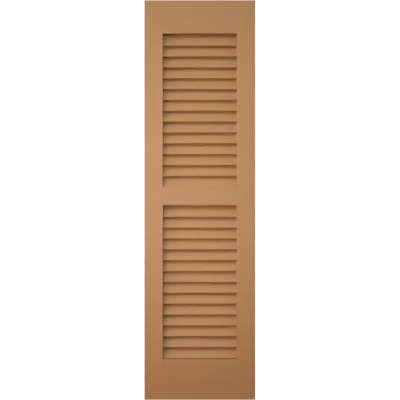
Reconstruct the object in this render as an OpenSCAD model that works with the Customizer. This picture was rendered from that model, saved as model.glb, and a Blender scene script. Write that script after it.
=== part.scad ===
// A pair of louvred openings in one painted timber shutter panel.
// The panel stands upright: X across the width, Y from the front (-Y) to the back, Z up.
// The origin is the centre of the back face, where the panel lies against a wall.

/* [Panel] */
// Overall width across both stiles
panel_w = 381; // [300:1:600]
// Overall height of the stiles
panel_h = 1371.6; // [1100:0.1:2000]
// Thickness of the stiles and rails
panel_t = 34.9; // [30:0.1:45]
// Radius sanded on the edges of the stiles and rails
arris_r = 0.8; // [0.4:0.1:1.5]

/* [Stiles and rails] */
// Width of each stile, the two uprights
stile_w = 63.5; // [50:0.5:90]
// Height of the top rail
top_rail_h = 114.3; // [80:0.1:160]
// Height of the middle rail
middle_rail_h = 63.5; // [50:0.1:120]
// Height of the bottom rail
bottom_rail_h = 139.7; // [100:0.1:200]
// Clear height of the lower opening; the upper opening takes what is left
lower_opening_h = 528.6; // [300:0.1:700]

/* [Louvres] */
// Width of a louvre across its slope
louvre_w = 46; // [43:0.5:52]
// Thickness of a louvre
louvre_t = 6.4; // [5:0.1:8]
// Lean of a louvre from upright, its top edge to the back
louvre_tilt = 25; // [18:1:32]
// Radius sanded on the four long edges of a louvre
louvre_arris_r = 0.8; // [0.4:0.1:2]
// Spacing aimed at; the spacing used divides each opening evenly
louvre_pitch = 37.3; // [30:0.1:39]
// Drop from the top of an opening to the first louvre's lower front edge
first_louvre_drop = 40; // [38:0.1:45]
// Height of the last lower front edge above the middle rail
upper_foot = 0.1; // [0:0.1:6]
// Height of the last lower front edge above the bottom rail
lower_foot = 3.2; // [0:0.1:6]
// Depth of the slanted housing cut in each stile for a louvre's end
housing_depth = 8; // [4:0.5:12]
// Room left past each end of a louvre in its housing
louvre_end_gap = 0.5; // [0.2:0.1:1]
// Clearance all round a louvre in its housings and grooves
louvre_clearance = 0.15; // [0.1:0.05:0.4]

/* [Dowels] */
// Diameter of the dowels that pin the rails to the stiles
dowel_d = 9.5; // [6:0.5:12]
// Length of a dowel, half of it in each piece
dowel_l = 76; // [50:1:90]
// Radial clearance of a dowel in its bore, filled with glue
dowel_clearance = 0.1; // [0.05:0.05:0.2]
// Room left past each end of a dowel
dowel_end_gap = 0.8; // [0.5:0.1:2]
// Chamfer on a dowel's ends
dowel_chamfer = 1; // [0.5:0.1:2]
// Number of dowels at each end of the top rail
top_dowels = 2; // [1:1:3]
// Number of dowels at each end of the middle rail
middle_dowels = 2; // [1:1:2]
// Number of dowels at each end of the bottom rail
bottom_dowels = 3; // [1:1:3]
// Spacing of the dowels in the top rail
top_dowel_pitch = 56; // [20:1:60]
// Spacing of the dowels in the middle rail
middle_dowel_pitch = 28; // [15:1:30]
// Spacing of the dowels in the bottom rail
bottom_dowel_pitch = 42; // [20:1:45]

/* [Hidden] */
$fn = 48;
paint = "#c09468";
bare_wood = "#d9b98a";

opening_w = panel_w - 2 * stile_w;
mid_y = -panel_t / 2;

// Heights of the rail edges, from the bottom up
bottom_z = -panel_h / 2;
lower_opening_z = bottom_z + bottom_rail_h;
middle_rail_z = lower_opening_z + lower_opening_h;
upper_opening_z = middle_rail_z + middle_rail_h;
top_rail_z = panel_h / 2 - top_rail_h;
upper_opening_h = top_rail_z - upper_opening_z;

// Louvres that fill an opening of height h whose last one stands foot above the rail
function louvre_count(h, foot) = 1 + round((h - first_louvre_drop - foot) / louvre_pitch);
function even_pitch(h, foot) = (h - first_louvre_drop - foot) / (louvre_count(h, foot) - 1);
upper_count = louvre_count(upper_opening_h, upper_foot);
lower_count = louvre_count(lower_opening_h, lower_foot);
upper_pitch = even_pitch(upper_opening_h, upper_foot);
lower_pitch = even_pitch(lower_opening_h, lower_foot);

// A louvre's centre stands this far above its lower front edge
louvre_rise = (louvre_w * cos(louvre_tilt) - louvre_t * sin(louvre_tilt)) / 2;
upper_first_z = top_rail_z - first_louvre_drop + louvre_rise;
lower_first_z = middle_rail_z - first_louvre_drop + louvre_rise;

// Centre heights, louvre 1 at the top of its opening
function upper_louvre_z(i) = upper_first_z - (i - 1) * upper_pitch;
function lower_louvre_z(i) = lower_first_z - (i - 1) * lower_pitch;

// Dowel heights, dowel 1 lowest in its rail
function dowel_z(rail_z, rail_h, count, pitch, i) =
    rail_z + rail_h / 2 + (i - (count + 1) / 2) * pitch;
function top_dowel_z(i) = dowel_z(top_rail_z, top_rail_h, top_dowels, top_dowel_pitch, i);
function middle_dowel_z(i) =
    dowel_z(middle_rail_z, middle_rail_h, middle_dowels, middle_dowel_pitch, i);
function bottom_dowel_z(i) =
    dowel_z(bottom_z, bottom_rail_h, bottom_dowels, bottom_dowel_pitch, i);

// Sides of the panel, -1 at the left
SIDES = [["left", -1], ["right", 1]];

function numbered(name, i) = str(name, i < 10 ? "_0" : "_", i);
function dowel_name(rail, side, i) = str(rail, "_", side, "_dowel_", i);

// A flat rectangle with rounded corners, centred
module rounded_rect(w, h, r) {
    square([w - 2 * r, h], center = true);
    square([w, h - 2 * r], center = true);
    for (x = [-1, 1], y = [-1, 1])
        translate([x * (w / 2 - r), y * (h / 2 - r)])
            circle(r);
}

// Runs an outline along X, its x across the thickness and its y up
module along_x(length) {
    rotate([90, 0, 90])
        linear_extrude(length, center = true)
            children();
}

// A louvre, or with extra grown all round, the housing that takes it
module louvre_bar(length, extra) {
    along_x(length)
        rotate(-louvre_tilt)
            rounded_rect(louvre_t + 2 * extra, louvre_w + 2 * extra, louvre_arris_r + extra);
}

module louvre(z) {
    color(paint)
        translate([0, mid_y, z])
            louvre_bar(opening_w + 2 * (housing_depth - louvre_end_gap), 0);
}

module louvre_housing(z) {
    translate([0, mid_y, z])
        louvre_bar(opening_w + 2 * housing_depth, louvre_clearance);
}

// A bore across the joint between a rail and a stile, equally deep in both
module dowel_bore(side, z) {
    translate([side * opening_w / 2, mid_y, z])
        rotate([0, 90, 0])
            cylinder(h = dowel_l + 2 * dowel_end_gap, d = dowel_d + 2 * dowel_clearance,
                center = true);
}

module dowel_bores() {
    for (s = SIDES) {
        for (i = [1 : top_dowels]) dowel_bore(s[1], top_dowel_z(i));
        for (i = [1 : middle_dowels]) dowel_bore(s[1], middle_dowel_z(i));
        for (i = [1 : bottom_dowels]) dowel_bore(s[1], bottom_dowel_z(i));
    }
}

// Square inner corners where a rail butts, so that the faces run flush across the joint
module flush_block(side, z, h) {
    translate([side * opening_w / 2 - (side < 0 ? stile_w / 2 : 0), -panel_t, z])
        cube([stile_w / 2, panel_t, h]);
}

module stile_blank(side) {
    intersection() {
        union() {
            translate([side * (panel_w - stile_w) / 2, mid_y, bottom_z])
                linear_extrude(panel_h)
                    rounded_rect(stile_w, panel_t, arris_r);
            flush_block(side, bottom_z, bottom_rail_h - arris_r);
            flush_block(side, middle_rail_z + arris_r, middle_rail_h - 2 * arris_r);
            flush_block(side, top_rail_z + arris_r, top_rail_h - arris_r);
        }
        translate([0, mid_y, 0])
            along_x(panel_w)
                rounded_rect(panel_t, panel_h, arris_r);
        rotate([90, 0, 0])
            linear_extrude(panel_t)
                rounded_rect(panel_w, panel_h, arris_r);
    }
}

module stile(side) {
    color(paint)
        difference() {
            stile_blank(side);
            for (i = [1 : upper_count]) louvre_housing(upper_louvre_z(i));
            for (i = [1 : lower_count]) louvre_housing(lower_louvre_z(i));
            dowel_bores();
        }
}

module rail_blank(z, h) {
    translate([0, mid_y, z + h / 2])
        along_x(opening_w)
            rounded_rect(panel_t, h, arris_r);
}

// The first louvre's upper edge is let into a groove under this rail
module top_rail() {
    color(paint)
        difference() {
            rail_blank(top_rail_z, top_rail_h);
            louvre_housing(upper_louvre_z(1));
            dowel_bores();
        }
}

// Grooved on both edges for the louvres that end the two openings
module middle_rail() {
    color(paint)
        difference() {
            rail_blank(middle_rail_z, middle_rail_h);
            louvre_housing(upper_louvre_z(upper_count));
            louvre_housing(lower_louvre_z(1));
            dowel_bores();
        }
}

module bottom_rail() {
    color(paint)
        difference() {
            rail_blank(bottom_z, bottom_rail_h);
            louvre_housing(lower_louvre_z(lower_count));
            dowel_bores();
        }
}

module dowel(side, z) {
    color(bare_wood)
        translate([side * opening_w / 2, mid_y, z])
            rotate([0, 90, 0])
                rotate_extrude()
                    polygon([
                        [0, -dowel_l / 2],
                        [dowel_d / 2 - dowel_chamfer, -dowel_l / 2],
                        [dowel_d / 2, -dowel_l / 2 + dowel_chamfer],
                        [dowel_d / 2, dowel_l / 2 - dowel_chamfer],
                        [dowel_d / 2 - dowel_chamfer, dowel_l / 2],
                        [0, dowel_l / 2]
                    ]);
}

stile(-1);  // left_stile
stile(1);  // right_stile
top_rail();
middle_rail();
bottom_rail();
for (i = [1 : upper_count])
    louvre(upper_louvre_z(i));
for (i = [1 : lower_count])
    louvre(lower_louvre_z(i));
for (s = SIDES, i = [1 : top_dowels])
    dowel(s[1], top_dowel_z(i));
for (s = SIDES, i = [1 : middle_dowels])
    dowel(s[1], middle_dowel_z(i));
for (s = SIDES, i = [1 : bottom_dowels])
    dowel(s[1], bottom_dowel_z(i));
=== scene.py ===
import math

import bpy
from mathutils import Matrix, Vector


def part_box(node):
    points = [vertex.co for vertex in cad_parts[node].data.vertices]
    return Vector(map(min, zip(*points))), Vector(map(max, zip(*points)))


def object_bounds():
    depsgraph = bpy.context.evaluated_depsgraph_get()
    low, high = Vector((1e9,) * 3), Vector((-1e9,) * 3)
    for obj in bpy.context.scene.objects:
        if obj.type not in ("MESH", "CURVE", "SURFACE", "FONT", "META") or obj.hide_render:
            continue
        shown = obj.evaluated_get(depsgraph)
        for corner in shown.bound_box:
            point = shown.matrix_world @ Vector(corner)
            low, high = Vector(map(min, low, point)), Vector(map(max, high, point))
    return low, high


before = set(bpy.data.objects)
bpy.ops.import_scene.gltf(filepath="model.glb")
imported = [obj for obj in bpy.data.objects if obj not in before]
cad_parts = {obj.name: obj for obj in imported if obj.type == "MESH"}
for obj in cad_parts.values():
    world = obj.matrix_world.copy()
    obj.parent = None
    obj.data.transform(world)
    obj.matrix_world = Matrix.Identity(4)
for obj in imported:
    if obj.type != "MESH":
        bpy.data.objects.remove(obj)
cad_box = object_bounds()
bpy.ops.object.select_all(action="DESELECT")


# ---------------------------------------------------------------- the camera
# The panel is seen square on, from the middle of its height, near enough that the
# top rail's underside just shows and far enough that its sides stay upright.
CAMERA_DISTANCE = 2.5
CAMERA_TO_RIGHT = 0.0006
VIEW_MARGIN = 1.0007
SENSOR_WIDTH = 36

panel_low, panel_high = (Vector(corner) for corner in cad_box)
panel_middle = (panel_low + panel_high) / 2
view_height = (panel_high.z - panel_low.z) * VIEW_MARGIN
bpy.ops.object.camera_add(
    location=(
        panel_middle.x + CAMERA_TO_RIGHT, panel_low.y - CAMERA_DISTANCE, panel_middle.z),
    rotation=(math.radians(90), 0, 0),
)
camera = bpy.context.object
camera.name = "camera"
camera.data.sensor_width = SENSOR_WIDTH
camera.data.lens = SENSOR_WIDTH * CAMERA_DISTANCE / view_height
bpy.context.scene.camera = camera


# ---------------------------------------------------------------- the stiles
# The two uprights are straight-grained softwood, planed and sanded, then sprayed with
# a tan satin enamel. Slanted housings in their inner edges hold the louvres' ends.
def linear_colour(hex_code):
    channels = [int(hex_code[i:i + 2], 16) / 255 for i in (1, 3, 5)]
    return [c / 12.92 if c <= 0.04045 else ((c + 0.055) / 1.055) ** 2.4 for c in channels] + [1]


def add_node(material, kind, settings={}, inputs={}):
    node = material.node_tree.nodes.new(kind)
    for name, value in settings.items():
        setattr(node, name, value)
    for name, value in inputs.items():
        socket = node.inputs[name]
        if isinstance(value, bpy.types.NodeSocket):
            material.node_tree.links.new(value, socket)
        else:
            socket.default_value = value
    return node


# Satin alkyd enamel, three sprayed coats over sanded softwood. The eye gets one even
# tan with a soft, wide sheen. The orange peel and the grain sunk into the film keep
# their real sizes, in metres, and are too fine to show on the whole panel.
ENAMEL = "#BB8C59"
ENAMEL_THIN = "#B78857"
ENAMEL_ON_GRAIN = "#B38555"
GRAIN_WIDTH, GRAIN_LENGTH, GRAIN_DEPTH = 0.002, 0.09, 0.00003
PORE_WIDTH, PORE_LENGTH, PORE_DEPTH = 0.0005, 0.012, 0.000008
PEEL_WIDTH, PEEL_DEPTH = 0.0015, 0.000012
PASS_WIDTH = 0.15
FULL_SHEEN, DRY_SHEEN = 0.42, 0.48
THIN_PASS, THICK_PASS = 0.3, 0.7
HARD_GRAIN_STARTS, HARD_GRAIN_ENDS, HARD_GRAIN_SHOWS = 0.5, 0.75, 0.5
ENAMEL_IOR = 1.5


def satin_enamel(name, along):
    material = bpy.data.materials.new(name)
    material.use_nodes = True
    shader = material.node_tree.nodes["Principled BSDF"]
    place = add_node(material, "ShaderNodeTexCoord").outputs["Object"]

    # Noise drawn out along the timber, for its growth lines and its pores
    def streaks(width, length, detail):
        stretch = [1 / width] * 3
        stretch["XYZ".index(along)] = 1 / length
        drawn_out = add_node(material, "ShaderNodeMapping", {}, {"Vector": place, "Scale": stretch})
        return add_node(material, "ShaderNodeTexNoise", {}, {
            "Vector": drawn_out.outputs["Vector"], "Scale": 1, "Detail": detail,
            "Roughness": 0.55}).outputs["Fac"]

    grain = streaks(GRAIN_WIDTH, GRAIN_LENGTH, 3)
    pores = streaks(PORE_WIDTH, PORE_LENGTH, 1)
    passes = add_node(material, "ShaderNodeTexNoise", {}, {
        "Vector": place, "Scale": 1 / PASS_WIDTH, "Detail": 2, "Roughness": 0.5}).outputs["Fac"]
    peel = add_node(material, "ShaderNodeTexNoise", {}, {
        "Vector": place, "Scale": 1 / PEEL_WIDTH, "Detail": 1, "Roughness": 0.5}).outputs["Fac"]

    # The film is a shade deeper where a pass left it thin and along the hard grain
    film = add_node(material, "ShaderNodeMix", {"data_type": "RGBA"}, {
        "Factor": passes, 6: linear_colour(ENAMEL_THIN), 7: linear_colour(ENAMEL)})
    hard_grain = add_node(material, "ShaderNodeMapRange", {"interpolation_type": "SMOOTHSTEP"}, {
        "Value": grain, "From Min": HARD_GRAIN_STARTS, "From Max": HARD_GRAIN_ENDS,
        "To Min": 0, "To Max": HARD_GRAIN_SHOWS})
    colour = add_node(material, "ShaderNodeMix", {"data_type": "RGBA"}, {
        "Factor": hard_grain.outputs["Result"], 6: film.outputs[2],
        7: linear_colour(ENAMEL_ON_GRAIN)})
    material.node_tree.links.new(colour.outputs[2], shader.inputs["Base Color"])

    sheen = add_node(material, "ShaderNodeMapRange", {}, {
        "Value": passes, "From Min": THIN_PASS, "From Max": THICK_PASS,
        "To Min": DRY_SHEEN, "To Max": FULL_SHEEN})
    material.node_tree.links.new(sheen.outputs["Result"], shader.inputs["Roughness"])

    lifted = add_node(material, "ShaderNodeBump", {}, {"Height": grain, "Distance": GRAIN_DEPTH})
    pored = add_node(material, "ShaderNodeBump", {}, {
        "Height": pores, "Distance": PORE_DEPTH, "Normal": lifted.outputs["Normal"]})
    dimpled = add_node(material, "ShaderNodeBump", {}, {
        "Height": peel, "Distance": PEEL_DEPTH, "Normal": pored.outputs["Normal"]})
    material.node_tree.links.new(dimpled.outputs["Normal"], shader.inputs["Normal"])
    shader.inputs["IOR"].default_value = ENAMEL_IOR
    return material


def finish_node(name, material):
    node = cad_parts[name]
    node.data.materials.clear()
    node.data.materials.append(material)


upright_enamel = satin_enamel("satin_enamel_on_uprights", "Z")
for name in ("left_stile", "right_stile"):
    finish_node(name, upright_enamel)


# ---------------------------------------------------------------- the rails
# Three cross rails of the same timber are dowelled and glued between the stiles and
# sanded flush with them before spraying. Their grain runs across the panel.
JOINT_LINE = 0.00012
JOINT_SOFTNESS = 0.00004
JOINT_SHADE = "#6E4226"
JOINT_SHOWS = 0.6

cross_enamel = satin_enamel("satin_enamel_on_rails", "X")

# A hairline shows at each end of a rail, where the film bridges the glued joint
shader = cross_enamel.node_tree.nodes["Principled BSDF"]
film_colour = shader.inputs["Base Color"].links[0].from_socket
place = add_node(cross_enamel, "ShaderNodeTexCoord").outputs["Object"]
across = add_node(cross_enamel, "ShaderNodeSeparateXYZ", {}, {"Vector": place}).outputs["X"]
from_middle = add_node(cross_enamel, "ShaderNodeMath", {"operation": "ABSOLUTE"}, {0: across})
rail_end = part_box("middle_rail")[1][0]
in_joint = add_node(cross_enamel, "ShaderNodeMapRange", {}, {
    "Value": from_middle.outputs[0],
    "From Min": rail_end - JOINT_LINE - JOINT_SOFTNESS, "From Max": rail_end - JOINT_LINE,
    "To Min": 0, "To Max": JOINT_SHOWS})
lined = add_node(cross_enamel, "ShaderNodeMix", {"data_type": "RGBA"}, {
    "Factor": in_joint.outputs["Result"], 6: film_colour, 7: linear_colour(JOINT_SHADE)})
cross_enamel.node_tree.links.new(lined.outputs[2], shader.inputs["Base Color"])

for name in ("top_rail", "middle_rail", "bottom_rail"):
    finish_node(name, cross_enamel)


# ---------------------------------------------------------------- the louvres
# The slats are quarter-inch boards with eased arrises, sprayed like the frame. Their
# ends are glued in the stiles' housings, so none of them turns.
louvre_enamel = satin_enamel("satin_enamel_on_louvres", "X")
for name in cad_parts:
    if "louvre" in name:
        finish_node(name, louvre_enamel)


# ---------------------------------------------------------------- the dowels
# Turned beech dowels, glued in blind bores, pin the rails to the stiles. Nothing of
# them shows once the frame is cramped up.
BEECH = "#DCBB8C"
BEECH_LATE_WOOD = "#CFA878"
BEECH_RAY = "#B88B5C"
BEECH_RING_WIDTH, BEECH_RING_LENGTH = 0.0025, 0.12
RAY_WIDTH, RAY_LENGTH, RAY_DEPTH = 0.0004, 0.003, 0.00003
RAY_STARTS, RAY_ENDS = 0.62, 0.72
SANDED_SMOOTH, SANDED_DULL = 0.6, 0.72

# Beech is pale and even, with short dark ray flecks a few millimetres long. It is bare
# and lightly sanded, so it stays matt.
beech = bpy.data.materials.new("turned_beech")
beech.use_nodes = True
shader = beech.node_tree.nodes["Principled BSDF"]
place = add_node(beech, "ShaderNodeTexCoord").outputs["Object"]
ring_place = add_node(beech, "ShaderNodeMapping", {}, {
    "Vector": place,
    "Scale": (1 / BEECH_RING_LENGTH, 1 / BEECH_RING_WIDTH, 1 / BEECH_RING_WIDTH)})
rings = add_node(beech, "ShaderNodeTexNoise", {}, {
    "Vector": ring_place.outputs["Vector"], "Scale": 1, "Detail": 3, "Roughness": 0.6})
ray_place = add_node(beech, "ShaderNodeMapping", {}, {
    "Vector": place, "Scale": (1 / RAY_LENGTH, 1 / RAY_WIDTH, 1 / RAY_WIDTH)})
rays = add_node(beech, "ShaderNodeTexNoise", {}, {
    "Vector": ray_place.outputs["Vector"], "Scale": 1, "Detail": 1, "Roughness": 0.5})
ray_marks = add_node(beech, "ShaderNodeMapRange", {"interpolation_type": "SMOOTHSTEP"}, {
    "Value": rays.outputs["Fac"], "From Min": RAY_STARTS, "From Max": RAY_ENDS})
ringed = add_node(beech, "ShaderNodeMix", {"data_type": "RGBA"}, {
    "Factor": rings.outputs["Fac"],
    6: linear_colour(BEECH), 7: linear_colour(BEECH_LATE_WOOD)})
flecked = add_node(beech, "ShaderNodeMix", {"data_type": "RGBA"}, {
    "Factor": ray_marks.outputs["Result"], 6: ringed.outputs[2], 7: linear_colour(BEECH_RAY)})
beech.node_tree.links.new(flecked.outputs[2], shader.inputs["Base Color"])
bare = add_node(beech, "ShaderNodeMapRange", {}, {
    "Value": rings.outputs["Fac"], "To Min": SANDED_SMOOTH, "To Max": SANDED_DULL})
beech.node_tree.links.new(bare.outputs["Result"], shader.inputs["Roughness"])
sunk = add_node(beech, "ShaderNodeBump", {"invert": True}, {
    "Height": ray_marks.outputs["Result"], "Distance": RAY_DEPTH})
beech.node_tree.links.new(sunk.outputs["Normal"], shader.inputs["Normal"])
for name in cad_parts:
    if "dowel" in name:
        finish_node(name, beech)


# ---------------------------------------------------------------- the floor and the cove
# The panel hangs as beside a window, so the studio's pale floor lies about a sill's
# height below it. A white cove closes the studio all round.
FLOOR_DROP = 0.95
FLOOR_RADIUS = 3.2
COVE_RADIUS = 3.4
FLOOR_SIDES, COVE_SEGMENTS, COVE_RINGS = 96, 48, 24
FLOOR_BOARD = "#F2F1EF"
FLOOR_ROUGHNESS = 0.9
GLOW_COLOUR = "#FFFFFF"
GLOW_STARTS, GLOW_FULL = FLOOR_RADIUS * 0.3, FLOOR_RADIUS * 0.95
FLOOR_GLOW, FLOOR_EDGE_GLOW, COVE_GLOW = 0.4, 1.1, 1.02

bpy.ops.mesh.primitive_circle_add(
    vertices=FLOOR_SIDES, radius=FLOOR_RADIUS, fill_type="NGON",
    location=(panel_middle.x, panel_middle.y, panel_low.z - FLOOR_DROP))
floor = bpy.context.object
floor.name = "floor"
pale_board = bpy.data.materials.new("matt_white_board")
pale_board.use_nodes = True
shader = pale_board.node_tree.nodes["Principled BSDF"]
shader.inputs["Base Color"].default_value = linear_colour(FLOOR_BOARD)
shader.inputs["Roughness"].default_value = FLOOR_ROUGHNESS
shader.inputs["Emission Color"].default_value = linear_colour(GLOW_COLOUR)
# The board carries a painted glow of its own emission, dim in the middle and full towards the cove,
# so it fades into the white
place = add_node(pale_board, "ShaderNodeTexCoord").outputs["Object"]
from_centre = add_node(pale_board, "ShaderNodeVectorMath", {"operation": "LENGTH"}, {0: place})
# Painted glow: emission strength rises with distance from the board's centre
painted_glow = add_node(pale_board, "ShaderNodeMapRange", {"interpolation_type": "SMOOTHSTEP"}, {
    "Value": from_centre.outputs["Value"], "From Min": GLOW_STARTS, "From Max": GLOW_FULL,
    "To Min": FLOOR_GLOW, "To Max": FLOOR_EDGE_GLOW})
pale_board.node_tree.links.new(painted_glow.outputs["Result"], shader.inputs["Emission Strength"])
floor.data.materials.append(pale_board)

bpy.ops.mesh.primitive_uv_sphere_add(
    segments=COVE_SEGMENTS, ring_count=COVE_RINGS, radius=COVE_RADIUS,
    location=panel_middle)
cove = bpy.context.object
cove.name = "cove"
lit_white = bpy.data.materials.new("lit_white_cove")
lit_white.use_nodes = True
shader = lit_white.node_tree.nodes["Principled BSDF"]
shader.inputs["Emission Color"].default_value = linear_colour(GLOW_COLOUR)
shader.inputs["Emission Strength"].default_value = COVE_GLOW
cove.data.materials.append(lit_white)

# They are seen, but only the lamps and the tent light the panel
for surroundings in (floor, cove):
    surroundings.visible_diffuse = False
    surroundings.visible_glossy = False
    surroundings.visible_transmission = False
    surroundings.visible_shadow = False


# ---------------------------------------------------------------- the lamps
# A translucent cloth tent hangs over the panel and gives a dim, warm light from above.
# Softboxes do the rest: daylight ones above, a warm one low on the left, and the
# strongest, with a grid, in front, left of the camera and a little low.
TENT_ABOVE, TENT_BELOW = 0.247, 0.005
TENT_HEM = 0.05
TENT_CLOTH = "#FFD0B8"

tent = bpy.data.worlds.new("cloth_tent")
tent.use_nodes = True
cloth = tent.node_tree.nodes["Background"]
cloth.inputs["Color"].default_value = linear_colour(TENT_CLOTH)
direction = add_node(tent, "ShaderNodeTexCoord").outputs["Generated"]
height = add_node(tent, "ShaderNodeSeparateXYZ", {}, {"Vector": direction}).outputs["Z"]
brightness = add_node(tent, "ShaderNodeMapRange", {}, {
    "Value": height, "From Min": -TENT_HEM, "From Max": TENT_HEM,
    "To Min": TENT_BELOW, "To Max": TENT_ABOVE})
tent.node_tree.links.new(brightness.outputs["Result"], cloth.inputs["Strength"])
bpy.context.scene.world = tent

NEUTRAL, DAYLIGHT, WARM = "#FFFFFF", "#D4ECFF", "#FFB890"
# name: degrees above the middle, degrees to the right, metres away, size, grid, watts, light
LAMPS = {
    "front_box": (-5, -15, 3.3, 1.0, 35, 1.65, NEUTRAL),
    "upper_front_box": (25, -15, 3.3, 1.0, 40, 0.39, DAYLIGHT),
    "upper_left_box": (35, -45, 3.3, 1.0, 45, 3.02, DAYLIGHT),
    "upper_right_box": (35, 30, 3.3, 1.0, 45, 0.61, DAYLIGHT),
    "low_left_box": (-15, -60, 2.6, 1.2, 180, 27, WARM),
    "left_side_box": (10, -75, 2.6, 1.2, 180, 29.9, NEUTRAL),
    "right_side_box": (20, 70, 2.6, 1.2, 180, 32.8, DAYLIGHT),
    "back_left_box": (-8, -140, 2.6, 1.2, 180, 19, NEUTRAL),
    "back_right_box": (-8, 135, 2.6, 1.2, 180, 22, NEUTRAL),
}
AIM_ABOVE_MIDDLE = 0.08
aim = panel_middle + Vector((0, 0, AIM_ABOVE_MIDDLE))
for name, (above, to_right, away, size, grid, watts, light) in LAMPS.items():
    above, to_right = math.radians(above), math.radians(to_right)
    towards_lamp = Vector((
        math.cos(above) * math.sin(to_right),
        -math.cos(above) * math.cos(to_right),
        math.sin(above)))
    bpy.ops.object.light_add(
        type="AREA", location=aim + towards_lamp * away,
        rotation=towards_lamp.to_track_quat("Z", "Y").to_euler())
    lamp = bpy.context.object
    lamp.name = name
    lamp.data.size = size
    lamp.data.spread = math.radians(grid)
    lamp.data.energy = watts
    lamp.data.color = linear_colour(light)[:3]

bpy.context.scene.view_settings.view_transform = "Standard"
